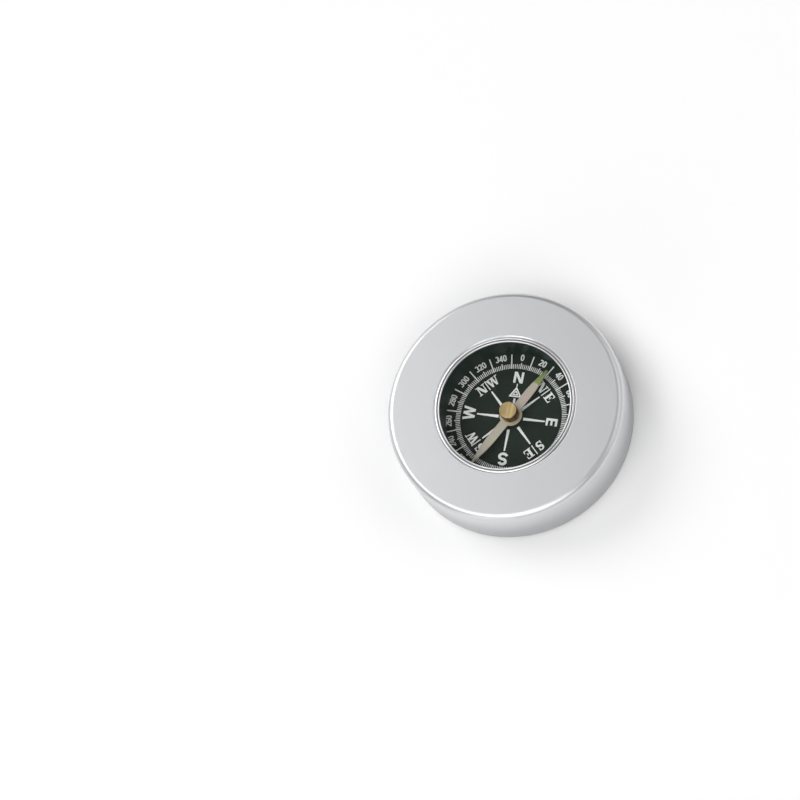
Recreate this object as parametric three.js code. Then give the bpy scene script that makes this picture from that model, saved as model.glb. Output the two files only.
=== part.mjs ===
// A dry needle compass in a turned aluminium body, lying on its base.
// Millimetres, +Z up through the dial, +Y towards the dial's north, +X towards its east.
// The origin is the centre of the underside.
import * as THREE from 'three';

// Fits between neighbouring pieces
const slipGap = 0.05;
const boreGap = 0.1;
const seatGap = 0.02;
const pivotGap = 0.05;

// Base pad and base plate
const padThickness = 1.0;
const padStand = 0.4;
const padEdgeRound = 0.2;
const padMargin = 0.4;
const plateThickness = 1.0;

// Housing
const housingRadius = 30;
const housingTopRound = 1.6;
const housingBottomRound = 0.4;
const baseRimWidth = 4;
const ledgeThickness = 2;
const ledgeWidth = 2.9;
const boreChamfer = 0.3;

// Capsule: case, dial, inner wall, window and its ring
const wallRadius = 17;
const spacerWall = 0.3;
const caseWall = 0.45;
const caseFloor = 0.6;
const caseFloorRound = 0.5;
const caseRimRise = 0.05;
const dialThickness = 0.4;
const lensThickness = 1.5;
const lensRingHeight = 0.6;
const lensRingWidth = 0.7;
const lensRingLip = 0.4;
const lensRingGroove = 0.15;
const lensRingDrop = 0.1;

// Needle
const needleBearing = 29;
const northTipClearance = 2.45;
const southTipClearance = 1.6;
const needleThickness = 0.3;
const needleLift = 1.3;
const needleHubRadius = 2.9;
const needleHalfWidth = 1.15;
const needleTipRadius = 0.36;
const needleTaperLength = 7.5;
const needleShoulderLength = 2.2;

// Needle cap and its bearing stone
const capRadius = 2.25;
const capHeight = 3.6;
const capHeadroom = 2.6;
const capCrown = 0.8;
const capChamfer = 0.12;
const capFlangeWidth = 0.2;
const capFlangeHeight = 0.3;
const neckRadius = 1.5;
const stakeWidth = 0.3;
const stakeHeight = 0.3;
const jewelRadius = 1.05;
const jewelHeight = 1.2;
const jewelRimWidth = 0.35;
const jewelCupDepth = 0.7;

// Pivot pin and its bush
const pinRadius = 0.4;
const pinTipLength = 1.2;
const pinSocketFloor = 0.3;
const bushWall = 0.6;
const bushHeadWidth = 0.5;
const bushHeadHeight = 0.4;
const bushFootWidth = 1.2;
const bushFootHeight = 0.5;

// Facets round a large and a small turned piece, and along a quarter round
const largeFacets = 72;
const smallFacets = 32;
const roundSteps = 6;
const needleCurveSteps = 10;

// Radii that follow from the capsule's wall
const capsuleRadius = wallRadius + spacerWall;
const caseInnerRadius = capsuleRadius + slipGap;
const caseOuterRadius = caseInnerRadius + caseWall;
const boreRadius = caseOuterRadius + boreGap;
const ledgeBoreRadius = boreRadius - ledgeWidth;
const recessRadius = housingRadius - baseRimWidth;
const plateRadius = recessRadius - boreGap;
const padRadius = plateRadius - padMargin;
const bushShankRadius = pinRadius + slipGap + bushWall;
const bushHoleRadius = bushShankRadius + slipGap;

// Heights, stacked from the pad's underside to the housing's face
const housingBottomZ = padStand;
const padTopZ = padThickness;
const plateTopZ = padTopZ + plateThickness;
const ledgeTopZ = plateTopZ + ledgeThickness;
const floorTopZ = ledgeTopZ + caseFloor;
const dialTopZ = floorTopZ + dialThickness;
const bladeBottomZ = dialTopZ + needleLift;
const bladeTopZ = bladeBottomZ + needleThickness;
const capTopZ = bladeTopZ + capHeight;
const lensBottomZ = capTopZ + capHeadroom;
const lensTopZ = lensBottomZ + lensThickness;
const lensRingTopZ = lensTopZ + lensRingHeight;
const caseRimZ = lensRingTopZ + caseRimRise;
const housingTopZ = lensRingTopZ + lensRingDrop;
const jewelSeatZ = capTopZ - capCrown;
const jewelTopZ = jewelSeatZ - seatGap;
const jewelBottomZ = jewelTopZ - jewelHeight;
const pinTipZ = jewelBottomZ + jewelCupDepth - pivotGap;
const bushBottomZ = ledgeTopZ - bushFootHeight;
const pinSeatZ = bushBottomZ + pinSocketFloor;

// Points [radius, height] of a quarter round about a centre, from one angle to another in degrees
function quarterRound(centreRadius, centreZ, round, fromDegrees, toDegrees) {
  return Array.from({ length: roundSteps + 1 }, (_, step) => {
    const angle = THREE.MathUtils.degToRad(
      fromDegrees + ((toDegrees - fromDegrees) * step) / roundSteps,
    );
    return [centreRadius + round * Math.cos(angle), centreZ + round * Math.sin(angle)];
  });
}

// A solid of revolution about +Z from a profile of [radius, height] points that runs anticlockwise
function turned(profile, facets) {
  const points = profile.map(([radius, height]) => new THREE.Vector2(radius, height));
  return new THREE.LatheGeometry(points, facets).rotateX(Math.PI / 2);
}

// A turned solid whose profile closes on itself, clear of the axis
function turnedRing(profile, facets) {
  return turned([...profile, profile[0]], facets);
}

function piece(name, geometry, color, roughness, metalness) {
  const material = new THREE.MeshStandardMaterial({ color, roughness, metalness });
  const mesh = new THREE.Mesh(geometry, material);
  mesh.name = name;
  return mesh;
}

// Soft pad under the base, with its lower edge rounded
function basePad() {
  const profile = [
    [0, 0],
    ...quarterRound(padRadius - padEdgeRound, padEdgeRound, padEdgeRound, -90, 0),
    [padRadius, padTopZ],
    [0, padTopZ],
  ];
  return piece('base_pad', turned(profile, largeFacets), 0x1d1e20, 0.95, 0);
}

// Non-magnetic disc that closes the housing's recess
function basePlate() {
  const profile = [
    [0, padTopZ],
    [plateRadius, padTopZ],
    [plateRadius, plateTopZ],
    [0, plateTopZ],
  ];
  return piece('base_plate', turned(profile, largeFacets), 0xb4b6b8, 0.45, 1);
}

// Turned body: recess below, ledge for the capsule, chamfered bore and rounded outer edges
function housing() {
  const profile = [
    [recessRadius, housingBottomZ],
    ...quarterRound(
      housingRadius - housingBottomRound, housingBottomZ + housingBottomRound, housingBottomRound, -90, 0,
    ),
    ...quarterRound(
      housingRadius - housingTopRound, housingTopZ - housingTopRound, housingTopRound, 0, 90,
    ),
    [boreRadius + boreChamfer, housingTopZ],
    [boreRadius, housingTopZ - boreChamfer],
    [boreRadius, ledgeTopZ],
    [ledgeBoreRadius, ledgeTopZ],
    [ledgeBoreRadius, plateTopZ],
    [recessRadius, plateTopZ],
  ];
  return piece('housing', turnedRing(profile, largeFacets), 0xcdced1, 0.42, 1);
}

// Thin metal cup that stands on the ledge, with a rounded rim and a hole for the pivot's bush
function capsuleCase() {
  const rimRound = caseWall / 2;
  const rimCentreRadius = caseOuterRadius - rimRound;
  const rimCentreZ = caseRimZ - rimRound;
  const profile = [
    [bushHoleRadius, ledgeTopZ],
    ...quarterRound(
      caseOuterRadius - caseFloorRound, ledgeTopZ + caseFloorRound, caseFloorRound, -90, 0,
    ),
    ...quarterRound(rimCentreRadius, rimCentreZ, rimRound, 0, 180),
    [caseInnerRadius, floorTopZ],
    [bushHoleRadius, floorTopZ],
  ];
  return piece('capsule_case', turnedRing(profile, largeFacets), 0xd9dadc, 0.12, 1);
}

// Printed card on the case's floor
function dialCard() {
  const profile = [
    [bushHoleRadius, floorTopZ],
    [capsuleRadius, floorTopZ],
    [capsuleRadius, dialTopZ],
    [bushHoleRadius, dialTopZ],
  ];
  return piece('dial_card', turnedRing(profile, largeFacets), 0x26292a, 0.5, 0);
}

// Glossy inner wall that holds the card down and carries the window
function spacerRing() {
  const profile = [
    [wallRadius, dialTopZ],
    [capsuleRadius, dialTopZ],
    [capsuleRadius, lensBottomZ],
    [wallRadius, lensBottomZ],
  ];
  return piece('spacer_ring', turnedRing(profile, largeFacets), 0x141716, 0.15, 0);
}

// Clear flat window
function windowLens() {
  const profile = [
    [0, lensBottomZ],
    [capsuleRadius, lensBottomZ],
    [capsuleRadius, lensTopZ],
    [0, lensTopZ],
  ];
  const lens = piece('window_lens', turned(profile, largeFacets), 0xf2f5f4, 0.05, 0);
  lens.material.transparent = true;
  lens.material.opacity = 0.15;
  return lens;
}

// Ring pressed into the case's rim over the window: a rounded lip with a groove outside it
function lensRing() {
  const innerRadius = capsuleRadius - lensRingWidth;
  const lipRound = lensRingLip / 2;
  const lipCentreRadius = innerRadius + lipRound;
  const grooveZ = lensRingTopZ - lensRingGroove;
  const lipCentreZ = lensRingTopZ - lipRound;
  const grooveAngle = THREE.MathUtils.radToDeg(Math.asin(Math.max(0, grooveZ - lipCentreZ) / lipRound));
  const profile = [
    [innerRadius, lensTopZ],
    [capsuleRadius, lensTopZ],
    [capsuleRadius, grooveZ],
    ...quarterRound(lipCentreRadius, lipCentreZ, lipRound, grooveAngle, 180),
  ];
  return piece('lens_ring', turnedRing(profile, largeFacets), 0xdfe0e2, 0.1, 1);
}

// Brass rivet that clamps the card to the case's floor and holds the pin
function pivotBush() {
  const socketRadius = pinRadius + slipGap;
  const headRadius = bushShankRadius + bushHeadWidth;
  const headTopZ = dialTopZ + bushHeadHeight;
  const footRadius = bushShankRadius + bushFootWidth;
  const profile = [
    [0, bushBottomZ],
    [footRadius, bushBottomZ],
    [footRadius, ledgeTopZ],
    [bushShankRadius, ledgeTopZ],
    [bushShankRadius, dialTopZ],
    [headRadius, dialTopZ],
    [headRadius, headTopZ],
    [socketRadius, headTopZ],
    [socketRadius, pinSeatZ],
    [0, pinSeatZ],
  ];
  return piece('pivot_bush', turned(profile, smallFacets), 0xb99a5b, 0.3, 1);
}

// Pointed steel pin
function pivotPin() {
  const profile = [
    [0, pinSeatZ],
    [pinRadius, pinSeatZ],
    [pinRadius, pinTipZ - pinTipLength],
    [0, pinTipZ],
  ];
  return piece('pivot_pin', turned(profile, smallFacets), 0x9a9c9f, 0.25, 1);
}

// Cup stone that rides on the pin's point
function jewelBearing() {
  const profile = [
    [0, jewelBottomZ + jewelCupDepth],
    [jewelRadius - jewelRimWidth, jewelBottomZ],
    [jewelRadius, jewelBottomZ],
    [jewelRadius, jewelTopZ],
    [0, jewelTopZ],
  ];
  return piece('jewel_bearing', turned(profile, smallFacets), 0xb5312f, 0.05, 0);
}

// Brass cap: staked through the needle's hub, flanged above it, bored for the stone
function needleCap() {
  const boreRadiusInside = jewelRadius + slipGap;
  const stakeTopZ = bladeBottomZ - seatGap;
  const stakeBottomZ = stakeTopZ - stakeHeight;
  const stakeRadius = neckRadius + stakeWidth;
  const flangeBottomZ = bladeTopZ + seatGap;
  const flangeTopZ = flangeBottomZ + capFlangeHeight;
  const flangeRadius = capRadius + capFlangeWidth;
  const profile = [
    [0, jewelSeatZ],
    [boreRadiusInside, jewelSeatZ],
    [boreRadiusInside, stakeBottomZ],
    [stakeRadius, stakeBottomZ],
    [stakeRadius, stakeTopZ],
    [neckRadius, stakeTopZ],
    [neckRadius, flangeBottomZ],
    [flangeRadius, flangeBottomZ],
    [flangeRadius, flangeTopZ],
    [capRadius, flangeTopZ],
    [capRadius, capTopZ - capChamfer],
    [capRadius - capChamfer, capTopZ],
    [0, capTopZ],
  ];
  return piece('needle_cap', turned(profile, smallFacets), 0xc3a467, 0.3, 1);
}

// Flat blade with a hub ring: straight edges, then a shoulder from which each end tapers to a round tip
function needleBlade() {
  const northReach = wallRadius - northTipClearance;
  const southReach = wallRadius - southTipClearance;
  const hubAngle = Math.acos(needleHalfWidth / needleHubRadius);
  const northTaper = northReach - needleTaperLength;
  const southTaper = southReach - needleTaperLength;
  const northTip = northReach - needleTipRadius;
  const southTip = southReach - needleTipRadius;
  const northBend = northTaper + needleShoulderLength;
  const southBend = southTaper + needleShoulderLength;
  const outline = new THREE.Shape();
  outline.moveTo(needleHalfWidth, northTaper);
  outline.quadraticCurveTo(needleHalfWidth, northBend, needleTipRadius, northTip);
  outline.absarc(0, northTip, needleTipRadius, 0, Math.PI, false);
  outline.quadraticCurveTo(-needleHalfWidth, northBend, -needleHalfWidth, northTaper);
  outline.absarc(0, 0, needleHubRadius, Math.PI - hubAngle, Math.PI + hubAngle, false);
  outline.lineTo(-needleHalfWidth, -southTaper);
  outline.quadraticCurveTo(-needleHalfWidth, -southBend, -needleTipRadius, -southTip);
  outline.absarc(0, -southTip, needleTipRadius, Math.PI, 2 * Math.PI, false);
  outline.quadraticCurveTo(needleHalfWidth, -southBend, needleHalfWidth, -southTaper);
  outline.absarc(0, 0, needleHubRadius, -hubAngle, hubAngle, false);
  outline.lineTo(needleHalfWidth, northTaper);
  const capHole = new THREE.Path();
  capHole.absarc(0, 0, neckRadius + slipGap, 0, 2 * Math.PI, true);
  outline.holes.push(capHole);
  const geometry = new THREE.ExtrudeGeometry(outline, {
    depth: needleThickness,
    bevelEnabled: false,
    curveSegments: needleCurveSteps,
  });
  geometry.translate(0, 0, bladeBottomZ);
  return piece('needle', geometry, 0xc9bcb0, 0.5, 0);
}

// The needle, its cap and the stone turn together on the pin's point
const needleGroup = new THREE.Group();
needleGroup.rotation.z = -THREE.MathUtils.degToRad(needleBearing);
needleGroup.add(needleBlade(), needleCap(), jewelBearing());

const compass = new THREE.Group();
compass.add(basePad(), basePlate(), housing(), capsuleCase(), dialCard(), spacerRing());
compass.add(windowLens(), lensRing(), pivotBush(), pivotPin(), needleGroup);

export default compass;
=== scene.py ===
# %% [markdown]
# # A dry needle compass in a turned body
# The object is a flat round compass: a satin aluminium body, 60 mm across, with a glazed capsule let into
# its top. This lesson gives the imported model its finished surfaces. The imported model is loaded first, as
# a frame that never moves, and every size below is read from it or named in millimetres.

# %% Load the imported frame
import bmesh
import bpy
import numpy as np
from mathutils import Matrix, Vector


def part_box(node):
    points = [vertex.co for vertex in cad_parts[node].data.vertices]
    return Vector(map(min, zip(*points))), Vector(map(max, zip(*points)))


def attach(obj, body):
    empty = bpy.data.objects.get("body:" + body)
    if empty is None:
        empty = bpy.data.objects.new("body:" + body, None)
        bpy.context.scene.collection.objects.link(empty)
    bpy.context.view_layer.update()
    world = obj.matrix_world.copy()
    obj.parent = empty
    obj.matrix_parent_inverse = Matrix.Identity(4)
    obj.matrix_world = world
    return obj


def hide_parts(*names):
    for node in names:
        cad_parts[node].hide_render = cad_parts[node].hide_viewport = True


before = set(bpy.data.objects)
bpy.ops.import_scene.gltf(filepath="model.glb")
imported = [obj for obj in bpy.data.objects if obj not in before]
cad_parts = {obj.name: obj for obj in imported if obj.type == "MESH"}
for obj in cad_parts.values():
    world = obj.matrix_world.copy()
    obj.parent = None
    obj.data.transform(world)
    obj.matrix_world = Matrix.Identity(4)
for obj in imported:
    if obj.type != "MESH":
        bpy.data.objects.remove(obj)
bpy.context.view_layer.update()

MM = 0.001

# %% [markdown]
# Every piece of this object is round about the pivot axis, apart from the needle, so one short helper
# reads what matters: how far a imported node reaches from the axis, and its lowest and highest point.

# %% Read the sizes that the frame holds
def span(node):
    """Outer radius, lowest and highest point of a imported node, in millimetres."""
    low, high = np.array(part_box(node)) / MM
    return high[0], low[2], high[2]


body_radius, body_low, body_top = span("housing")
case_radius, case_low, case_top = span("capsule_case")
ring_radius, ring_low, ring_top = span("lens_ring")
window_radius, window_low, window_top = span("window_lens")
wall_outer, wall_low, wall_top = span("spacer_ring")
dial_radius, dial_low, dial_top = span("dial_card")
pad_radius, pad_low, pad_top = span("base_pad")
print("body", body_radius, "x", body_top, "dial at", dial_top, "window at", window_top)

# %% [markdown]
# ## The camera
# The compass is seen from above its front edge, at 66 degrees over the floor, and it is turned in the
# picture. A camera could be placed by trial. Here its bearing, height and roll were worked out from the
# ellipses that the body, the window and the dial make, so the view is a few named angles and the lens
# needs no shift.

# %% Place the camera
picture_pixels = 800
focal_pixels = 3200
sensor_width = 36.0
camera_azimuth = 45.27
camera_elevation = 65.81
camera_roll = -36.09
camera_distance = 800.6
camera_aim = Vector((-26.75, -1.97, body_top))


def camera_axes(azimuth, elevation, roll):
    """Right, up and back axes of a camera.

    Back points from the aim to the camera. Right starts level and turns about back by roll.
    """
    azimuth, elevation, roll = np.radians([azimuth, elevation, roll])
    flat = np.cos(elevation)
    back = Vector((np.sin(azimuth) * flat, -np.cos(azimuth) * flat, np.sin(elevation)))
    level = Vector((0, 0, 1)).cross(back).normalized()
    right = level * np.cos(roll) + back.cross(level) * np.sin(roll)
    return right, back.cross(right), back


right, up, back = camera_axes(camera_azimuth, camera_elevation, camera_roll)
camera_data = bpy.data.cameras.new("view")
camera_data.sensor_width = sensor_width
camera_data.lens = sensor_width * focal_pixels / picture_pixels
camera_data.clip_start = 0.05
camera_data.clip_end = 20.0
camera = bpy.data.objects.new("view", camera_data)
camera_turn = Matrix((right, up, back)).transposed().to_4x4()
camera.matrix_world = Matrix.Translation((camera_aim + back * camera_distance) * MM) @ camera_turn
bpy.context.scene.collection.objects.link(camera)
bpy.context.scene.camera = camera
print("lens", camera_data.lens, "mm, camera at", [round(c, 4) for c in camera.location])

# %% [markdown]
# ## Shader sums as plain Python
# A material's pattern is arithmetic on sockets. Nodes could be added and linked one by one, but a formula
# reads better: this small class wraps a socket, turns each operator into a Math node, and has one method
# that adds any other node. Colours are blended by Mix nodes, since a Math node would turn them grey.

# %% Wrap a socket
class Wire:
    """A socket of a node tree: sums of wires and numbers add Math nodes to the same tree."""

    def __init__(self, tree, socket=None):
        self.tree = tree
        self.socket = socket

    def node(self, kind, settings=(), sockets=(), out=0):
        """Adds any node: its settings first, then the value or wire of each socket; returns one output."""
        made = self.tree.nodes.new(kind)
        for name, value in dict(settings).items():
            setattr(made, name, value)
        for name, value in dict(sockets).items():
            if isinstance(value, Wire):
                self.tree.links.new(value.socket, made.inputs[name])
            else:
                made.inputs[name].default_value = value
        return Wire(self.tree, made.outputs[out] if made.outputs else None)

    def math(self, operation, *values):
        """A Math node of that operation on wires and numbers."""
        return self.node("ShaderNodeMath", {"operation": operation}, enumerate(values))

    def __add__(self, other):
        return self.math("ADD", self, other)

    def __radd__(self, other):
        return self.math("ADD", other, self)

    def __sub__(self, other):
        return self.math("SUBTRACT", self, other)

    def __rsub__(self, other):
        return self.math("SUBTRACT", other, self)

    def __mul__(self, other):
        return self.math("MULTIPLY", self, other)

    def __rmul__(self, other):
        return self.math("MULTIPLY", other, self)

    def __pow__(self, other):
        return self.math("POWER", self, other)

    def step(self, low, high):
        """Rises smoothly from 0 at low to 1 at high."""
        sockets = {"Value": self, "From Min": low, "From Max": high}
        return self.node("ShaderNodeMapRange", {"interpolation_type": "SMOOTHSTEP"}, sockets)

    def blend(self, first, second):
        """The first colour where this wire is 0 and the second where it is 1."""
        return self.node("ShaderNodeMix", {"data_type": "RGBA"}, {0: self, 6: first, 7: second}, out=2)

    def tint(self, colour):
        """That colour times this wire."""
        return self.node("ShaderNodeVectorMath", {"operation": "SCALE"}, {0: colour, "Scale": self})

    def along(self, direction):
        """How far this vector reaches along a direction."""
        settings = {"operation": "DOT_PRODUCT"}
        return self.node("ShaderNodeVectorMath", settings, {0: self, 1: direction}, out="Value")

    def noise(self, scale, detail=2.0):
        """Noise from 0 to 1 read at this vector, with about that many features a metre."""
        sockets = {"Vector": self, "Scale": scale, "Detail": detail}
        return self.node("ShaderNodeTexNoise", {}, sockets)

    def stretched(self, factors):
        """This vector with each axis times its factor, so that a noise on it runs in streaks."""
        return self.node("ShaderNodeVectorMath", {"operation": "MULTIPLY"}, {0: self, 1: factors})

    def from_axis(self):
        """How far this place lies from the turning axis."""
        flat = self.stretched((1, 1, 0))
        return self.node("ShaderNodeVectorMath", {"operation": "LENGTH"}, {0: flat}, out="Value")

    def bump(self, depth):
        """A normal that treats this wire as a height of that depth in metres."""
        return self.node("ShaderNodeBump", {}, {"Height": self, "Distance": depth})

    def principled(self, **sockets):
        """A Principled surface: colour, roughness, metallic and normal by their short names."""
        names = {
            "colour": "Base Color", "roughness": "Roughness", "metallic": "Metallic", "normal": "Normal"}
        named = {names.get(key, key): value for key, value in sockets.items()}
        return self.node("ShaderNodeBsdfPrincipled", {}, named)


def finish(name, surface_of):
    """A material whose surface is made by surface_of from the piece's own coordinates."""
    material = bpy.data.materials.new(name)
    material.use_nodes = True
    tree = material.node_tree
    tree.nodes.clear()
    place = Wire(tree).node("ShaderNodeTexCoord", out="Object")
    surface = surface_of(place)
    surface.node("ShaderNodeOutputMaterial", {}, {"Surface": surface})
    print("finish", name, "with", len(tree.nodes), "nodes")
    return material


# %% [markdown]
# ## The studio
# The compass lies on a white table in a tent. A tent is white near the table and darker overhead where
# the camera looks out, so the sky here fades from white at the horizon to dark grey at the zenith: that
# keeps the window clear of glare. Most of the light comes from large round soft boxes. The one in the
# west casts the shadow, and the one in the south-east draws the bright line along the body's near edge.
# Those high in the south-west and in the north-east stand between them, so that the rounded edge mirrors
# no dark gap. Two cards lower down, in the east and the south, lighten its last dark lines. None of them
# stands where the flat window would mirror it to the camera, or to an eye straight above.

# %% Lay the floor and hang the lights
floor_half = 1000
floor_white = (0.97, 0.97, 0.97)
horizon_level = 1.0
zenith_level = 0.1
horizon_fade = 4.0
box_distance = 3000
scene = bpy.context.scene
scene.view_settings.view_transform = "Standard"


def table_paper(place):
    """Matt white paper with a trace of fibre in its tone."""
    fibre = place.noise(900.0)
    white = (0.995 + 0.01 * fibre).tint(floor_white)
    return place.principled(colour=white, roughness=0.9, **{"Specular IOR Level": 0.0})


def sky(start):
    """Zenith level plus what the horizon has over it, times one less the sine of the height, to a power."""
    direction = start.node("ShaderNodeTexCoord", out="Generated")
    height = direction.node("ShaderNodeSeparateXYZ", {}, {"Vector": direction}, out="Z")
    low_down = (1 - height.math("MAXIMUM", height, 0.0)) ** horizon_fade
    level = zenith_level + (horizon_level - zenith_level) * low_down
    light = level.node("ShaderNodeBackground", {}, {"Strength": level, "Color": (1, 1, 1, 1)})
    light.node("ShaderNodeOutputWorld", {}, {"Surface": light})


def soft_box(name, azimuth, elevation, size, level):
    """A round soft box aimed at the compass. Level is what it alone would give a white floor below it."""
    back = camera_axes(azimuth, elevation, 0)[2]
    lamp = bpy.data.lights.new(name, "AREA")
    lamp.shape = "DISK"
    lamp.size = size * MM
    lamp.energy = level * np.pi**2 * (box_distance * MM) ** 2 / back.z
    box = bpy.data.objects.new(name, lamp)
    box.location = back * box_distance * MM
    box.rotation_euler = (-back).to_track_quat("-Z", "Y").to_euler()
    scene.collection.objects.link(box)
    print(name, "power", round(lamp.energy, 3), "W")


world = bpy.data.worlds.new("tent")
scene.world = world
world.use_nodes = True
world.node_tree.nodes.clear()
sky(Wire(world.node_tree))

floor_mesh = bpy.data.meshes.new("floor")
floor_signs = np.array([(-1, -1, 0), (1, -1, 0), (1, 1, 0), (-1, 1, 0)])
floor_mesh.from_pydata((floor_signs * floor_half * MM).tolist(), [], [(0, 1, 2, 3)])
floor_mesh.materials.append(finish("table_paper", table_paper))
floor = bpy.data.objects.new("floor", floor_mesh)
scene.collection.objects.link(floor)

soft_box("west_box", azimuth=250, elevation=43, size=2100, level=0.285)
soft_box("north_box", azimuth=142, elevation=46, size=2400, level=0.12)
soft_box("east_card", azimuth=98, elevation=37, size=1500, level=0.05)
soft_box("south_box", azimuth=24, elevation=46, size=2000, level=0.195)
soft_box("top_box", azimuth=325, elevation=66, size=2150, level=0.305)
soft_box("south_card", azimuth=343, elevation=17, size=1500, level=0.025)

# %% [markdown]
# ## Turned surfaces
# Nearly every piece was turned on a lathe, so its shape is a profile carried round the axis. The Spin
# operator could do that, but a grid worked out with numpy is exact: a list of corners with their edge
# roundings becomes a profile, and one function sweeps it. A real edge is never sharp, and each small
# rounding catches the light.

# %% Make profiles and sweep them
tiny = 1e-6


def rounded(corners, steps=8):
    """Profile through corners (radius, height, rounding), where each corner becomes a tangent arc.

    An arc starts rounding / tan(half the corner's angle) before the corner and ends as far after it.
    Its points blend the two end spokes by the sines of their angles, which keeps them on the circle.
    """
    corners = np.asarray(corners, float)
    points = corners[:, :2]
    behind = np.roll(points, 1, 0) - points
    ahead = np.roll(points, -1, 0) - points
    behind /= np.linalg.norm(behind, axis=1, keepdims=True)
    ahead /= np.linalg.norm(ahead, axis=1, keepdims=True)
    half = np.arccos(np.clip((behind * ahead).sum(1), -1, 1))[:, None] / 2
    rounding = corners[:, 2:]
    start = points + behind * rounding / np.tan(half)
    end = points + ahead * rounding / np.tan(half)
    inward = (behind + ahead) / np.linalg.norm(behind + ahead, axis=1, keepdims=True)
    centre = points + inward * rounding / np.sin(half)
    turn = (np.pi - 2 * half)[:, None]
    share = np.linspace(0, 1, steps + 1)[None, :, None]
    spokes = np.sin((1 - share) * turn) * (start - centre)[:, None]
    spokes = spokes + np.sin(share * turn) * (end - centre)[:, None]
    profile = (centre[:, None] + spokes / np.sin(turn)).reshape(-1, 2)
    apart = np.linalg.norm(profile - np.roll(profile, 1, 0), axis=1) > tiny
    return profile[apart]


def held(profile, hold=0.12):
    """The profile with a point near both ends of each long straight, so that its shading stays flat."""
    ahead = np.roll(profile, -1, 0) - profile
    length = np.linalg.norm(ahead, axis=1, keepdims=True)
    unit = ahead / length
    trio = np.stack([profile, profile + unit * hold, profile + ahead - unit * hold], axis=1)
    keep = np.repeat(length > 4 * hold, 3, axis=1)
    keep[:, 0] = True
    return trio[keep]


def turned(profile, facets=256):
    """Sweeps a profile round the axis.

    A point (radius, height) at angle a goes to (radius cos a, radius sin a, height). The profile is closed
    and runs anticlockwise. A profile point on the axis is a single shared point, and the straight along the
    axis between two such points makes no face.
    """
    radius, height = profile.T
    angle = np.linspace(0, 2 * np.pi, facets, endpoint=False)
    grid = np.stack(np.broadcast_arrays(
        radius[:, None] * np.cos(angle), radius[:, None] * np.sin(angle), height[:, None]), axis=-1)
    pole = radius < tiny
    kept = ~pole[:, None] | (np.arange(facets) == 0)
    index = np.cumsum(kept.ravel()).reshape(kept.shape) - 1
    index[pole] = index[pole, :1]
    below, above = index, np.roll(index, -1, 0)
    quads = np.stack([below, np.roll(below, -1, 1), np.roll(above, -1, 1), above], axis=-1)
    pole_above = np.roll(pole, -1)
    faces = quads[~pole & ~pole_above].reshape(-1, 4).tolist()
    faces += quads[~pole & pole_above][..., :3].reshape(-1, 3).tolist()
    faces += quads[pole & ~pole_above][..., 1:].reshape(-1, 3).tolist()
    return grid[kept], faces


def add_piece(name, shape, material, sharp=35):
    """Adds a smooth piece from points in millimetres and faces. Edges over sharp degrees stay sharp."""
    points, faces = shape
    mesh = bpy.data.meshes.new(name)
    mesh.from_pydata((points * MM).tolist(), [], faces)
    mesh.polygons.foreach_set("use_smooth", np.ones(len(faces), bool))
    mesh.set_sharp_from_angle(angle=np.radians(sharp))
    mesh.materials.append(material)
    piece = bpy.data.objects.new(name, mesh)
    scene.collection.objects.link(piece)
    print(name, len(points), "points", len(faces), "faces")
    return piece


# %% [markdown]
# ## The satin body
# The body is aluminium, turned and then blasted with fine beads before it was anodised, so it is an even
# pale grey with a soft sheen and no tool marks. A metal with a middling roughness gives the sheen, and a
# very fine grain in tone, roughness and height stands for the bead marks. Lower down the side the metal is
# a little smoother, and its colour is darkened there as painted shade, for the shadow on the table that the
# side mirrors: the height of a point tells how far. The bore's chamfer was cut afterwards, so it is the
# smoothest and brightest, and the distance from the axis picks it out.

# %% Turn the body
body_top_round = 1.6
body_low_round = 0.4
base_rim_width = 4.0
ledge_width = 2.9
ledge_thickness = 2.0
bore_gap = 0.1
bore_chamfer = 0.3
edge_break = 0.06
side_shade_start = 1.0
side_shade_end = 2.0
satin_grey = (0.69, 0.698, 0.714)
bore_radius = case_radius + bore_gap
chamfer_radius = bore_radius + bore_chamfer


def satin_aluminium(place):
    """Metal with a grain of a tenth of a millimetre and a faint cloud in its tone.

    The chamfer is brighter and smoother. From the rounded edge down the side is smoother, and darkened by
    painted shade.
    """
    grain = place.noise(9000.0, 3.0)
    cloud = place.noise(90.0)
    cut = 1 - place.from_axis().step((chamfer_radius - edge_break) * MM, (chamfer_radius + edge_break) * MM)
    height = place.along((0, 0, 1))
    # Painted shade: from the rounded edge down, the side's colour is darkened by up to a third, for the
    # table's shadow that it mirrors; the same mask makes the side smoother.
    side = 1 - height.step((body_low + side_shade_end) * MM, (body_top - side_shade_start) * MM)
    tone = 0.96 + 0.05 * grain + 0.03 * cloud + 0.35 * cut - 0.32 * side
    colour = tone.tint(satin_grey)
    roughness = 0.38 + 0.06 * grain - 0.1 * cut - 0.08 * side
    blasted = (grain * (1 - cut)).bump(6e-6)
    return place.principled(colour=colour, metallic=1.0, roughness=roughness, normal=blasted)


ledge_radius = bore_radius - ledge_width
recess_radius = body_radius - base_rim_width
recess_top = case_low - ledge_thickness
body_profile = rounded([
    (recess_radius, body_low, edge_break),
    (body_radius, body_low, body_low_round),
    (body_radius, body_top, body_top_round),
    (chamfer_radius, body_top, edge_break),
    (bore_radius, body_top - bore_chamfer, edge_break),
    (bore_radius, case_low, edge_break),
    (ledge_radius, case_low, edge_break),
    (ledge_radius, recess_top, edge_break),
    (recess_radius, recess_top, edge_break),
], steps=12)
satin = finish("satin_aluminium", satin_aluminium)
body_ring = add_piece("body_ring", turned(held(body_profile), facets=384), satin)
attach(body_ring, "body")
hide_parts("housing")
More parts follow.
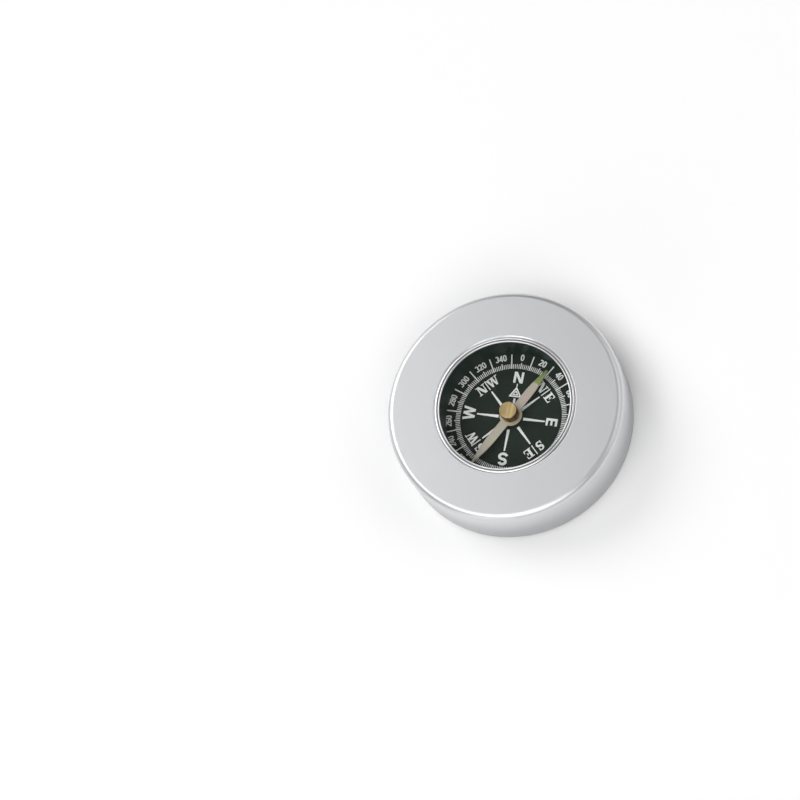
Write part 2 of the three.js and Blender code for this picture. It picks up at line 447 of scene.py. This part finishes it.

# %% [markdown]
# ## The bright rim of the capsule
# The capsule is a thin drawn cup whose rim is rolled in over the ring that holds the window down. So the
# bore shows two bright bands, the rolled rim and the ring's lip, with a fine groove between them where
# polish and dust stay behind. Both are made as round sections that mirror the tent, with only a trace of
# turning lines in their gloss. The rim's top slopes down a little towards the body, as a rolled edge
# does, and the height of a point tells whether it lies in the groove, whose colour is darkened for the
# dust and as painted shade.

# %% Turn the cup and the ring
case_wall = 0.45
case_floor_round = 0.5
case_inner_round = 0.1
bush_hole = 1.1
ring_width = 0.7
lip_width = 0.4
groove_width = 0.26
groove_depth = 0.3
rim_edge = 0.2
rim_slope = 0.1
seat_gap = 0.02
fine_edge = 0.03
half_round = 0.49
plating_grey = (0.86, 0.86, 0.87)


def polished_rim(place):
    """Bright plating with fine lines round the axis in its gloss, dull in the groove and darkened there by
    dust and painted shade.
    """
    radius = place.from_axis()
    lines = radius.node("ShaderNodeTexNoise", {"noise_dimensions": "1D"}, {"W": radius, "Scale": 12000.0})
    smudge = place.noise(700.0)
    height = place.along((0, 0, 1))
    # Dust and painted shade: below the groove's top the colour falls to 0.3 of the plating, and the gloss
    # dulls.
    clean = height.step((ring_top - groove_depth) * MM, (ring_top - groove_depth / 3) * MM)
    colour = ((0.3 + 0.7 * clean) * (0.9 + 0.1 * smudge)).tint(plating_grey)
    roughness = 0.38 - 0.1 * clean + 0.03 * lines + 0.03 * smudge
    return place.principled(colour=colour, metallic=1.0, roughness=roughness)


case_inner = case_radius - case_wall
ring_inner = ring_radius - ring_width
lip_outer = ring_inner + lip_width
groove_floor = ring_top - groove_depth
rim_inner = lip_outer + groove_width
case_profile = rounded([
    (bush_hole, case_low, 0.0),
    (case_radius, case_low, case_floor_round),
    (case_radius, case_top - rim_slope, rim_edge),
    (rim_inner, case_top, rim_edge),
    (rim_inner, groove_floor + seat_gap, fine_edge),
    (case_inner, groove_floor + seat_gap, fine_edge),
    (case_inner, dial_low, case_inner_round),
    (bush_hole, dial_low, 0.0),
])
ring_profile = rounded([
    (ring_inner, ring_low, fine_edge),
    (ring_radius, ring_low, fine_edge),
    (ring_radius, groove_floor, fine_edge),
    (lip_outer, groove_floor, fine_edge),
    (lip_outer, ring_top, half_round * lip_width),
    (ring_inner, ring_top, half_round * lip_width),
])
bright = finish("polished_rim", polished_rim)
capsule_cup = add_piece("capsule_cup", turned(held(case_profile), facets=320), bright)
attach(capsule_cup, "body")
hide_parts("capsule_case")
window_ring = add_piece("window_ring", turned(held(ring_profile), facets=320), bright)
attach(window_ring, "body")
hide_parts("lens_ring")

# %% [markdown]
# ## The window
# The window is a flat clear pane. In a path tracer, glass lets no lamp light straight through, which
# would leave the dial dark, so rays that look for a lamp pass through a plain transparent surface
# instead. Rays that the matt dial sends out pass in the same way, or they would find the lamps a second
# time and the print would glare. A trace of roughness in soft patches stands for fingerprints.

# %% Make the window
pane_edge = 0.05


def window_clear(place):
    """Glass of index 1.49 for the eye, and nothing at all for rays between the dial and the lamps."""
    smear = place.noise(160.0).step(0.45, 0.75)
    glass = place.principled(**{
        "Base Color": (1, 1, 1, 1), "Roughness": 0.012 * smear, "IOR": 1.49, "Transmission Weight": 1.0})
    nothing = place.node("ShaderNodeBsdfTransparent")
    shadow_ray = place.node("ShaderNodeLightPath", out="Is Shadow Ray")
    matt_ray = place.node("ShaderNodeLightPath", out="Is Diffuse Ray")
    lamp_ray = place.math("MAXIMUM", shadow_ray, matt_ray)
    return place.node("ShaderNodeMixShader", {}, {0: lamp_ray, 1: glass, 2: nothing})


pane_profile = rounded([
    (0, window_low, 0),
    (window_radius, window_low, pane_edge),
    (window_radius, window_top, pane_edge),
    (0, window_top, 0),
])
window_pane = add_piece("window_pane", turned(held(pane_profile)), finish("window_clear", window_clear))
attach(window_pane, "body")
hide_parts("window_lens")

# %% [markdown]
# ## The black wall and the dial
# Inside the capsule a black ring keeps the window off the dial, and its half gloss smears the print that
# it mirrors. The dial is a black card with a semi-matt varnish, a little green. Both are simple turned
# sections, and the difference between them is all in the gloss: a smooth wall, and a paper tooth in the
# card.

# %% Turn the wall and the dial
wall_thickness = 0.3
wall_edge = 0.12
wall_tone = (0.008, 0.024, 0.016)
card_edge = 0.05
hole_edge = 0.02
card_tone = (0.0115, 0.021, 0.0145)


def wall_black(place):
    """Half-glossy black moulding with faint draw marks down it."""
    drawn = place.stretched((1, 1, 0.1)).noise(900.0)
    colour = (0.7 + 0.6 * drawn).tint(wall_tone)
    return place.principled(colour=colour, roughness=0.28 + 0.06 * drawn, **{"Specular IOR Level": 0.08})


def dial_black(place):
    """Varnished black card: a fine paper tooth in its tone and height."""
    tooth = place.noise(5000.0, 3.0)
    colour = (0.6 + 0.8 * tooth).tint(card_tone)
    roughness = 0.55 + 0.15 * tooth
    surface = {"Specular IOR Level": 0.12}
    return place.principled(colour=colour, roughness=roughness, normal=tooth.bump(4e-6), **surface)


wall_inner = wall_outer - wall_thickness
wall_profile = rounded([
    (wall_inner, wall_low, fine_edge),
    (wall_outer, wall_low, fine_edge),
    (wall_outer, wall_top, fine_edge),
    (wall_inner, wall_top, wall_edge),
])
inner_wall = add_piece("inner_wall", turned(held(wall_profile)), finish("wall_black", wall_black))
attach(inner_wall, "body")
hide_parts("spacer_ring")

dial_profile = rounded([
    (bush_hole, dial_low, hole_edge),
    (dial_radius, dial_low, card_edge),
    (dial_radius, dial_top, card_edge),
    (bush_hole, dial_top, hole_edge),
])
dial_face = add_piece("dial_face", turned(held(dial_profile)), finish("dial_black", dial_black))
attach(dial_face, "body")
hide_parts("dial_card")

# %% [markdown]
# ## The dial's print
# The print is white ink: degree marks, numerals every twenty degrees, eight directions and a north arrow.
# Text objects could be used, but their font would be a file, so each sign is drawn from strokes. A stroke
# is a strip between two edge lines, raised by the thickness of the ink. Straight strokes have two points
# on each edge, and a round one follows an ellipse or an arc of one. Where strokes cross, two faces in one
# plane would flicker, so the strokes take turns on eight layers, each a few thousandths of a millimetre
# above the last.

# %% Draw strokes
ink_sunk = 0.03
ink_height = 0.012
ink_layers = 8
layer_step = 0.003
print_shift = np.array((-0.28, -0.25))


def block(left, right, low, high):
    """An upright rectangle of ink."""
    return np.array([(left, low), (left, high)]), np.array([(right, low), (right, high)]), False


def slant(low_left, low_right, low, high_left, high_right, high):
    """A slanting bar with level ends."""
    left = np.array([(low_left, low), (high_left, high)])
    right = np.array([(low_right, low), (high_right, high)])
    return left, right, False


def ribbon(path, width, closed=False):
    """A band of that width along a path: half the width to each side, square to the path's direction."""
    path = np.asarray(path, float)
    if closed:
        heading = np.roll(path, -1, 0) - np.roll(path, 1, 0)
    else:
        heading = np.gradient(path, axis=0)
    heading /= np.linalg.norm(heading, axis=1, keepdims=True)
    across = np.stack([-heading[:, 1], heading[:, 0]], axis=1) * np.reshape(width, (-1, 1)) / 2
    return path + across, path - across, closed


def arc(x, y, wide, tall, start, end, steps=14):
    """Points on an ellipse about (x, y) from one angle to another, in degrees."""
    angle = np.radians(np.linspace(start, end, steps))
    return np.stack([x + wide * np.cos(angle), y + tall * np.sin(angle)], axis=1)


def loop(x, y, wide, tall, width, steps=28, square=0.8):
    """A closed round stroke: an ellipse whose cosines and sines, to the power square, fill its corners."""
    angle = np.linspace(0, 2 * np.pi, steps, endpoint=False)
    rise = np.stack([np.cos(angle), np.sin(angle)], axis=1)
    rise = np.sign(rise) * np.abs(rise) ** square
    return ribbon(np.array((x, y)) + rise * (wide, tall), width, closed=True)


def radial_bars(inner, outer, inner_width, outer_width, bearings):
    """Bars along the radius at many bearings at once, each with its own width at both ends."""
    turn = np.radians(bearings)[:, None, None]
    outward = np.concatenate([np.sin(turn), np.cos(turn)], axis=2)
    clockwise = np.concatenate([np.cos(turn), -np.sin(turn)], axis=2)
    reach = np.array([inner, outer])[None, :, None]
    half = np.array([inner_width, outer_width])[None, :, None] / 2
    return reach * outward - half * clockwise, reach * outward + half * clockwise, False


def raised(left, right, closed, layer):
    """Solid strips between edge lines: each pair of edge points carries a rectangle, card to ink top.

    The edges are arrays of strips, points and (x, y), or of points and (x, y) for one strip. Open strips
    get an end face at both ends.
    """
    left = left.reshape(-1, *left.shape[-2:])
    right = right.reshape(-1, *right.shape[-2:])
    low = np.full(left.shape[:2] + (1,), dial_top - ink_sunk)
    high = np.full(left.shape[:2] + (1,), dial_top + ink_height + layer * layer_step)
    corners = [(left, low), (right, low), (right, high), (left, high)]
    points = np.stack([np.concatenate(pair, axis=2) for pair in corners], axis=2)
    index = np.arange(points[..., 0].size).reshape(points.shape[:3])
    following = np.roll(index, -1, 1)
    if not closed:
        index, following = index[:, :-1], following[:, :-1]
    sides = np.stack([index, np.roll(index, -1, 2), np.roll(following, -1, 2), following], axis=-1)
    faces = [sides.reshape(-1, 4)]
    if not closed:
        faces += [index[:, 0, ::-1], following[:, -1]]
    return points.reshape(-1, 3), np.concatenate(faces)


# %% [markdown]
# The lettering has two hands: plain bold capitals for the four main directions, and capitals with serifs
# for the pairs between them. The numerals are narrow and bold. All are drawn one unit high about an
# upright axis, then scaled and set on the dial with their heads outwards.

# %% Draw the signs
def plain_capitals():
    """Bold capitals without serifs, one unit high."""
    curl = np.concatenate([arc(0, 0.705, 0.25, 0.195, 15, 270), arc(0, 0.305, 0.28, 0.205, 88, -165)])
    return {
        "N": [block(-0.425, -0.215, 0, 1), block(0.215, 0.425, 0, 1),
              slant(0.17, 0.425, 0, -0.425, -0.17, 1)],
        "E": [block(-0.335, -0.12, 0, 1), block(-0.12, 0.335, 0, 0.19), block(-0.12, 0.29, 0.41, 0.59),
              block(-0.12, 0.335, 0.81, 1)],
        "S": [ribbon(curl, 0.2)],
        "W": [slant(-0.36, -0.16, 0, -0.6, -0.385, 1), slant(-0.36, -0.16, 0, -0.1, 0.1, 1),
              slant(0.16, 0.36, 0, -0.1, 0.1, 1), slant(0.16, 0.36, 0, 0.385, 0.6, 1)],
    }


def serif_capitals():
    """Bold capitals with thick and thin strokes and slab serifs, one unit high."""
    curl = np.concatenate([arc(0, 0.725, 0.22, 0.215, 35, 270), arc(0, 0.28, 0.25, 0.225, 88, -145)])
    swell = 0.12 + 0.15 * np.sin(np.linspace(0, np.pi, len(curl))) ** 2
    return {
        "N": [block(-0.40, -0.29, 0, 1), block(0.28, 0.39, 0, 1), slant(0.10, 0.39, 0, -0.42, -0.12, 1),
              block(-0.53, -0.17, 0, 0.09), block(-0.55, -0.2, 0.91, 1), block(0.14, 0.53, 0.91, 1)],
        "E": [block(-0.3, -0.04, 0, 1), block(-0.42, 0.38, 0, 0.1), block(-0.42, 0.35, 0.9, 1),
              block(-0.04, 0.16, 0.46, 0.55), slant(0.24, 0.38, 0, 0.34, 0.40, 0.33),
              slant(0.3, 0.36, 0.68, 0.2, 0.35, 1), block(0.1, 0.18, 0.36, 0.65)],
        "S": [ribbon(curl, swell), slant(0.18, 0.26, 0.66, 0.16, 0.27, 1),
              slant(-0.3, -0.19, 0, -0.29, -0.21, 0.36)],
        "W": [slant(-0.32, -0.14, 0, -0.58, -0.32, 1), slant(-0.27, -0.15, 0, -0.06, 0.06, 1),
              slant(0.16, 0.34, 0, -0.10, 0.16, 1), slant(0.21, 0.33, 0, 0.46, 0.56, 1),
              block(-0.7, -0.2, 0.91, 1), block(-0.2, 0.26, 0.91, 1), block(0.36, 0.68, 0.91, 1)],
    }


def narrow_numerals():
    """Bold narrow numerals, one unit high."""
    weight = 0.185
    two = np.concatenate([arc(0, 0.70, 0.19, 0.215, 165, -25), [(-0.16, 0.13)]])
    six = np.concatenate([[(-0.19, 0.30)], arc(0, 0.66, 0.19, 0.255, 180, 30)])
    return {
        "0": [loop(0, 0.5, 0.19, 0.415, weight)],
        "1": [block(-0.02, 0.16, 0, 1), slant(-0.2, 0.0, 0.68, -0.02, 0.0, 1)],
        "2": [ribbon(two, weight), block(-0.27, 0.27, 0, 0.17)],
        "3": [ribbon(arc(-0.01, 0.71, 0.19, 0.205, 155, -85), weight),
              ribbon(arc(-0.01, 0.29, 0.2, 0.205, 85, -155), weight)],
        "4": [slant(-0.3, -0.1, 0.3, 0.02, 0.2, 1), block(-0.3, 0.3, 0.2, 0.36), block(0.04, 0.21, 0, 1)],
        "6": [loop(0, 0.31, 0.19, 0.225, weight), ribbon(six, weight)],
        "8": [loop(0, 0.725, 0.175, 0.19, weight), loop(0, 0.295, 0.195, 0.21, weight)],
    }


def set_sign(strokes, height, radius, bearing, aside=0.0):
    """Strokes set on the dial: their heights run outwards about a radius, and sideways is clockwise."""
    turn = np.radians(bearing)
    outward = np.array((np.sin(turn), np.cos(turn)))
    clockwise = np.array((np.cos(turn), -np.sin(turn)))

    def placed(edge):
        out = radius + (edge[:, 1:] - 0.5) * height
        return out * outward + (aside + edge[:, :1] * height) * clockwise

    return [(placed(left), placed(right), closed) for left, right, closed in strokes]


print("signs", sorted(plain_capitals()), sorted(serif_capitals()), sorted(narrow_numerals()))

# %% [markdown]
# Now the marks are set out as a dial printer would: fine marks every two degrees, a long mark at each odd
# ten, a numeral at each even ten, then the letters, seven rays and the arrow in the north. The print of
# such a dial is rarely true to its axis, and here it sits over a third of a millimetre aside.

# %% Set out the dial
mark_step, mark_inner = 2, 13.05
fine_outer, fine_width = 14.25, 0.2
ten_outer, ten_width = 14.6, 0.26
long_outer, long_width = 16.9, 0.32
numeral_step, numeral_height, numeral_radius, digit_pitch = 20, 1.7, 16.05, 0.59
capitals = {0: ("N", 2.95, 10.72), 90: ("E", 2.95, 10.6), 180: ("S", 3.4, 11.0), 270: ("W", 3.1, 10.85)}
pairs = {45: "NE", 135: "SE", 225: "SW", 315: "NW"}
pair_height, pair_radius, pair_aside = 2.5, 10.75, 1.7
ray_inner, ray_outer, ray_foot, ray_end = 3.2, 8.84, 0.76, 0.35
rule_inner, rule_outer, rule_width = 9.36, 12.2, 0.27
stem_inner, stem_outer, stem_width = 3.2, 5.1, 0.55
arrow_base, arrow_apex, arrow_half = 5.5, 8.3, 1.7
arrow_foot_round, arrow_apex_round = 0.12, 0.32
arrow_bands = ((0.0, 0.34), (0.49, 0.74))
tail_inner, tail_outer, tail_width = 7.9, 9.0, 0.24


def arrow_ring(outer_inset, inner_inset):
    """A three-sided band: the arrow's outline drawn in twice towards the middle of its inscribed circle."""
    outline = rounded([
        (-arrow_half, arrow_base, arrow_foot_round),
        (arrow_half, arrow_base, arrow_foot_round),
        (0, arrow_apex, arrow_apex_round),
    ])
    rise = arrow_apex - arrow_base
    inscribed = arrow_half * rise / (arrow_half + np.hypot(arrow_half, rise))
    middle = np.array((0, arrow_base + inscribed))
    outer = middle + (outline - middle) * (1 - outer_inset / inscribed)
    inner = middle + (outline - middle) * (1 - inner_inset / inscribed)
    return outer, inner, True


numeral_bearings = np.arange(0, 360, numeral_step)
north = np.array([0])
ink = [
    radial_bars(mark_inner, fine_outer, fine_width, fine_width, np.arange(0, 360, mark_step)),
    radial_bars(mark_inner, ten_outer, ten_width, ten_width, numeral_bearings),
    radial_bars(mark_inner, long_outer, long_width, long_width, numeral_bearings + numeral_step / 2),
    radial_bars(ray_inner, ray_outer, ray_foot, ray_end, np.arange(45, 360, 45)),
    radial_bars(rule_inner, rule_outer, rule_width, rule_width, np.array(list(pairs))),
    radial_bars(stem_inner, stem_outer, stem_width, stem_width, north),
    radial_bars(tail_inner, tail_outer, tail_width, tail_width, north),
]
ink += [arrow_ring(*band) for band in arrow_bands]
for bearing in numeral_bearings:
    digits = str(bearing)
    for place, digit in enumerate(digits):
        aside = (place - (len(digits) - 1) / 2) * digit_pitch * numeral_height
        ink += set_sign(narrow_numerals()[digit], numeral_height, numeral_radius, bearing, aside)
for bearing, (letter, height, radius) in capitals.items():
    ink += set_sign(plain_capitals()[letter], height, radius, bearing)
for bearing, letters in pairs.items():
    for letter, aside in zip(letters, (-pair_aside, pair_aside)):
        ink += set_sign(serif_capitals()[letter], pair_height, pair_radius, bearing, aside)
print("strokes", len(ink))

# %% [markdown]
# The strokes become one piece of white ink that lies on the card. They could be objects of their own,
# joined by an operator, but numpy sets their points and faces end to end at once. A real print is never
# quite even, so a fine mottle moves its tone and its gloss.

# %% Print the dial
ink_tone = (0.89, 0.91, 0.89)


def print_white(place):
    """White ink that lies a little unevenly: its tone and gloss follow a fine mottle."""
    mottle = place.noise(3500.0, 3.0)
    colour = (0.9 + 0.18 * mottle).tint(ink_tone)
    return place.principled(colour=colour, roughness=0.45 + 0.15 * mottle)


def joined(shapes):
    """Many shapes as one: the points end to end, and each shape's faces counted on from those before it."""
    counts = np.cumsum([0] + [len(points) for points, faces in shapes])
    faces = np.concatenate([faces + start for (points, faces), start in zip(shapes, counts)])
    return np.concatenate([points for points, faces in shapes]), faces


def face_outwards(piece):
    """Turns every closed stroke's faces outwards, since strokes were drawn in both directions."""
    work = bmesh.new()
    work.from_mesh(piece.data)
    bmesh.ops.recalc_face_normals(work, faces=work.faces)
    work.to_mesh(piece.data)
    work.free()


layers = [raised(*stroke, order % ink_layers) for order, stroke in enumerate(ink)]
ink_points, ink_faces = joined(layers)
ink_points[:, :2] += print_shift
white_ink = finish("print_white", print_white)
dial_print = add_piece("dial_print", (ink_points, ink_faces.tolist()), white_ink, sharp=20)
face_outwards(dial_print)
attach(dial_print, "body")

# %% [markdown]
# ## The needle
# The needle is stamped from thin magnet steel: a lance with straight edges that curve in to a round tip
# at each end, and a ring at the hub. Its outline is single-valued about the pivot, so the blade is a grid
# of rings between the hub's hole and that outline. The last rings round its edges off. It is dipped in
# cream paint, and the north end in green.

# %% Cut the needle
needle_bearing = 29.0
needle_node_low, needle_node_high = (corner[2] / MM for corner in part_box("needle"))
north_reach, south_reach = 14.55, 15.4
hub_radius, hub_hole = 2.9, 1.55
blade_half = 1.15
tip_radius = 0.36
taper_length = 7.5
shoulder_length = 2.2
blade_edge = 0.08
blade_rings = 7
edge_steps = 4
tip_steps = 6
side_steps = 12
hub_steps = 40
green_length = 4.35
paint_wander = 0.6
paint_edge = 0.15
rosy_start, rosy_full, rosy_fade, rosy_end = 2.0, 5.5, 6.0, 9.0
plain_cream = (0.44, 0.415, 0.335, 1)
rosy_cream = (0.455, 0.385, 0.34, 1)
pale_green = (0.22, 0.28, 0.07, 1)
deep_green = (0.18, 0.228, 0.083, 1)
heading = np.array((np.sin(np.radians(needle_bearing)), np.cos(np.radians(needle_bearing)), 0))


def tip_edge(reach, steps=14):
    """Right edge of one end: straight, then a quadratic curve over the shoulder, then a quarter circle."""
    share = np.linspace(0, 1, steps)[:, None]
    start = np.array((blade_half, reach - taper_length))
    end = np.array((tip_radius, reach - tip_radius))
    bend = start + (0, shoulder_length)
    curve = (1 - share) ** 2 * start + 2 * share * (1 - share) * bend + share**2 * end
    turn = np.linspace(0, np.pi / 2, tip_steps)[1:, None]
    tip = np.array((0, end[1])) + tip_radius * np.concatenate([np.cos(turn), np.sin(turn)], axis=1)
    foot = np.sqrt(hub_radius**2 - blade_half**2)
    straight = np.linspace(foot, start[1], side_steps, endpoint=False)[1:, None]
    side = np.concatenate([np.full_like(straight, blade_half), straight], axis=1)
    return np.concatenate([side, curve, tip])


def needle_outline():
    """Closed outline, anticlockwise from the hub: north edge, its mirror image, hub again and south."""
    mirror = np.array((-1, 1))
    open_angle = np.arccos(blade_half / hub_radius)
    hub_turn = np.linspace(-open_angle, open_angle, hub_steps)[:, None]
    hub = hub_radius * np.concatenate([np.cos(hub_turn), np.sin(hub_turn)], axis=1)
    north, south = tip_edge(north_reach), tip_edge(south_reach)
    upper = np.concatenate([north, (north * mirror)[-2::-1]])
    lower = np.concatenate([south * -1, (south * -mirror)[-2::-1]])
    return np.concatenate([hub, upper, -hub, lower])


def needle_blade():
    """Rings between the hole and the outline on both faces, drawn in by the rounding of the edge."""
    outline = needle_outline()
    along = np.roll(outline, -1, 0) - np.roll(outline, 1, 0)
    along /= np.linalg.norm(along, axis=1, keepdims=True)
    inward = np.stack([-along[:, 1], along[:, 0]], axis=1)
    hole = outline / np.linalg.norm(outline, axis=1, keepdims=True) * hub_hole
    low, high = needle_node_low, needle_node_high
    turn = np.radians(np.linspace(0, 90, edge_steps))
    drawn_in = blade_edge * (1 - np.cos(turn))
    dropped = blade_edge * (1 - np.sin(turn))
    rims = [(outline + inward * d, high - h) for d, h in zip(drawn_in, dropped)]
    rims_low = [(outline + inward * d, low + h) for d, h in zip(drawn_in, dropped)][::-1]
    face_rim = outline + inward * blade_edge
    shares = np.linspace(0, 1, blade_rings)[1:-1]
    top = [(face_rim + (hole - face_rim) * share, high) for share in shares]
    under = [(hole + (face_rim - hole) * share, low) for share in shares]
    rings = rims_low + rims + top + [(hole, high), (hole, low)] + under
    points = np.stack([np.concatenate([flat, np.full((len(flat), 1), z)], axis=1) for flat, z in rings])
    to_bearing = np.array([(heading[1], -heading[0]), (heading[0], heading[1])])
    points[..., :2] = points[..., :2] @ to_bearing
    index = np.arange(points[..., 0].size).reshape(points.shape[:2])
    above = np.roll(index, -1, 0)
    quads = np.stack([index, np.roll(index, -1, 1), np.roll(above, -1, 1), above], axis=-1)
    return points.reshape(-1, 3), quads.reshape(-1, 4).tolist()


def needle_paint(place):
    """Cream enamel, rosier north of the hub, with a green north tip whose edge wanders a little."""
    reach = place.along(heading)
    mottle = place.noise(1800.0, 3.0)
    wander = paint_wander * MM * (mottle - 0.5)
    green_start = (north_reach - green_length) * MM
    tip = (reach + wander).step(green_start - paint_edge * MM, green_start + paint_edge * MM)
    rosy = reach.step(rosy_start * MM, rosy_full * MM) * (1 - reach.step(rosy_fade * MM, rosy_end * MM))
    cream = rosy.blend(plain_cream, rosy_cream)
    deep = reach.step(green_start, north_reach * MM)
    green = deep.blend(pale_green, deep_green)
    colour = tip.blend(cream, green)
    speck = (0.94 + 0.12 * mottle).tint((1, 1, 1))
    shade = colour.node("ShaderNodeMix", {"data_type": "RGBA", "blend_type": "MULTIPLY"},
                        {0: 1.0, 6: colour, 7: speck}, out=2)
    return place.principled(colour=shade, roughness=0.38 + 0.15 * mottle, normal=mottle.bump(6e-6))


needle_lance = add_piece("needle_lance", needle_blade(), finish("needle_paint", needle_paint))
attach(needle_lance, "needle_assembly")
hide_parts("needle")

# %% [markdown]
# ## The brass cap
# The needle hangs on a turned brass cap. Its head was faced across, so it shows straight fine lines.
# Under the head runs a neck, the side is tarnished brown in streaks, and a flange at the foot sits on the
# needle's hub. The sweep makes the shape, and the height of a point picks the lines on the head and the
# streaks below it.

# %% Turn the cap
cap_radius = 2.25
head_height = 0.3
neck_height = 0.3
neck_depth = 0.3
cap_chamfer = 0.12
flange_height = 0.3
shank_radius = 1.5
stake_width = 0.3
stone_gap = 0.05
soft_edge, plain_edge, crisp_edge = 0.1, 0.05, 0.04
shank_edge, foot_edge = 0.02, 0.08
facing_depth, facing_edge = 0.06, 0.02
tarnish_rise = 0.4
brass_dark = (0.45, 0.335, 0.16, 1)
brass_light = (0.62, 0.5, 0.24, 1)
brass_stain = (0.56, 0.37, 0.21, 1)
tarnish_brown = (0.12, 0.045, 0.022, 1)
stone_radius, stone_low, stone_top = span("jewel_bearing")
flange_radius, cap_low, cap_top = span("needle_cap")


def brass(place):
    """Brass with straight facing lines on the cap's head, brown streaks down its side and a bright foot."""
    faced = place.stretched((1, 0.05, 1)).noise(1600.0, 4.0).step(0.3, 0.7)
    streaks = place.stretched((1, 1, 0.12)).noise(1500.0, 3.0).step(0.4, 0.62)
    stain = place.noise(900.0).step(0.5, 0.75)
    height = place.along((0, 0, 1))
    head = height.step((cap_top - facing_depth) * MM, (cap_top - facing_edge) * MM)
    side = height.step(flange_top * MM, (flange_top + tarnish_rise) * MM) * (1 - head)
    polished = faced.blend(brass_dark, brass_light)
    clean = (head * stain * 0.6).blend(polished, brass_stain)
    colour = (side * (0.65 + 0.35 * streaks)).blend(clean, tarnish_brown)
    roughness = 0.3 + 0.12 * faced + 0.1 * stain
    return place.principled(colour=colour, metallic=1.0, roughness=roughness, normal=faced.bump(3e-6))


flange_low = needle_node_high + seat_gap
flange_top = flange_low + flange_height
stake_top = needle_node_low - seat_gap
neck_top = cap_top - head_height
neck_low = neck_top - neck_height
stone_bore = stone_radius + stone_gap
stone_seat = stone_top + seat_gap
cap_profile = rounded([
    (0, stone_seat, 0),
    (stone_bore, stone_seat, plain_edge),
    (stone_bore, cap_low, crisp_edge),
    (shank_radius + stake_width, cap_low, soft_edge),
    (shank_radius + stake_width, stake_top, plain_edge),
    (shank_radius, stake_top, shank_edge),
    (shank_radius, flange_low, shank_edge),
    (flange_radius, flange_low, soft_edge),
    (flange_radius, flange_top, soft_edge),
    (cap_radius, flange_top, foot_edge),
    (cap_radius, neck_low, plain_edge),
    (cap_radius - neck_depth, neck_low, plain_edge),
    (cap_radius - neck_depth, neck_top, plain_edge),
    (cap_radius, neck_top, crisp_edge),
    (cap_radius, cap_top - cap_chamfer, plain_edge),
    (cap_radius - cap_chamfer, cap_top, crisp_edge),
    (0, cap_top, 0),
], steps=5)
brass_finish = finish("brass", brass)
brass_cap = add_piece("brass_cap", turned(held(cap_profile, hold=0.06), facets=128), brass_finish)
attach(brass_cap, "needle_assembly")
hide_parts("needle_cap")

# %% [markdown]
# ## The pad underneath
# A thin disc of foam rubber keeps the compass from sliding. It is a turned section with soft edges whose
# skin is pocked with fine cells, so it is made like the metal pieces, with a rougher finish.

# %% Make the pad
pad_edge = 0.2
pad_top_edge = 0.05
foam_tone = (0.012, 0.013, 0.014)


def pad_foam(place):
    """Matt black foam with cells of a third of a millimetre."""
    cells = place.node("ShaderNodeTexVoronoi", {"feature": "F1"}, {"Vector": place, "Scale": 3000.0})
    bloom = place.noise(60.0)
    colour = (0.7 + 0.5 * cells + 0.3 * bloom).tint(foam_tone)
    return place.principled(colour=colour, roughness=0.85, normal=cells.bump(4e-5))


pad_profile = rounded([
    (0, pad_low, 0),
    (pad_radius, pad_low, pad_edge),
    (pad_radius, pad_top, pad_top_edge),
    (0, pad_top, 0),
])
foam_pad = add_piece("foam_pad", turned(held(pad_profile)), finish("pad_foam", pad_foam))
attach(foam_pad, "body")
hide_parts("base_pad")

# %% [markdown]
# ## The hidden pieces
# The base plate, the pin, its bush and the bearing stone are plain turned shapes that hardly show, so
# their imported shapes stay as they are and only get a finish: rolled sheet, ground steel, brass and red
# stone.

# %% Finish the hidden pieces
sheet_grey = (0.70, 0.71, 0.72)
steel_grey = (0.56, 0.57, 0.58)
stone_dark = (0.30, 0.015, 0.02, 1)
stone_light = (0.50, 0.05, 0.06, 1)


def rolled_sheet(place):
    """Aluminium sheet with the straight streaks of the rolling mill."""
    streak = place.stretched((1, 0.02, 1)).noise(7000.0)
    colour = (0.92 + 0.1 * streak).tint(sheet_grey)
    roughness = 0.3 + 0.2 * streak
    return place.principled(colour=colour, metallic=1.0, roughness=roughness, normal=streak.bump(3e-6))


def ground_steel(place):
    """Steel ground round its axis: fine rings along its length."""
    rings = place.stretched((0.05, 0.05, 1)).noise(30000.0)
    colour = (0.9 + 0.15 * rings).tint(steel_grey)
    roughness = 0.18 + 0.15 * rings
    return place.principled(colour=colour, metallic=1.0, roughness=roughness, normal=rings.bump(1e-6))


def bearing_stone(place):
    """Polished red stone with a faint cloud in its depth."""
    cloud = place.noise(2500.0)
    colour = cloud.blend(stone_dark, stone_light)
    return place.principled(colour=colour, roughness=0.04 + 0.05 * cloud)


hidden_finishes = {
    "base_plate": finish("rolled_sheet", rolled_sheet),
    "pivot_bush": brass_finish,
    "pivot_pin": finish("ground_steel", ground_steel),
    "jewel_bearing": finish("bearing_stone", bearing_stone),
}
for node, material in hidden_finishes.items():
    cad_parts[node].material_slots[0].material = material
print("finished in place", sorted(hidden_finishes))
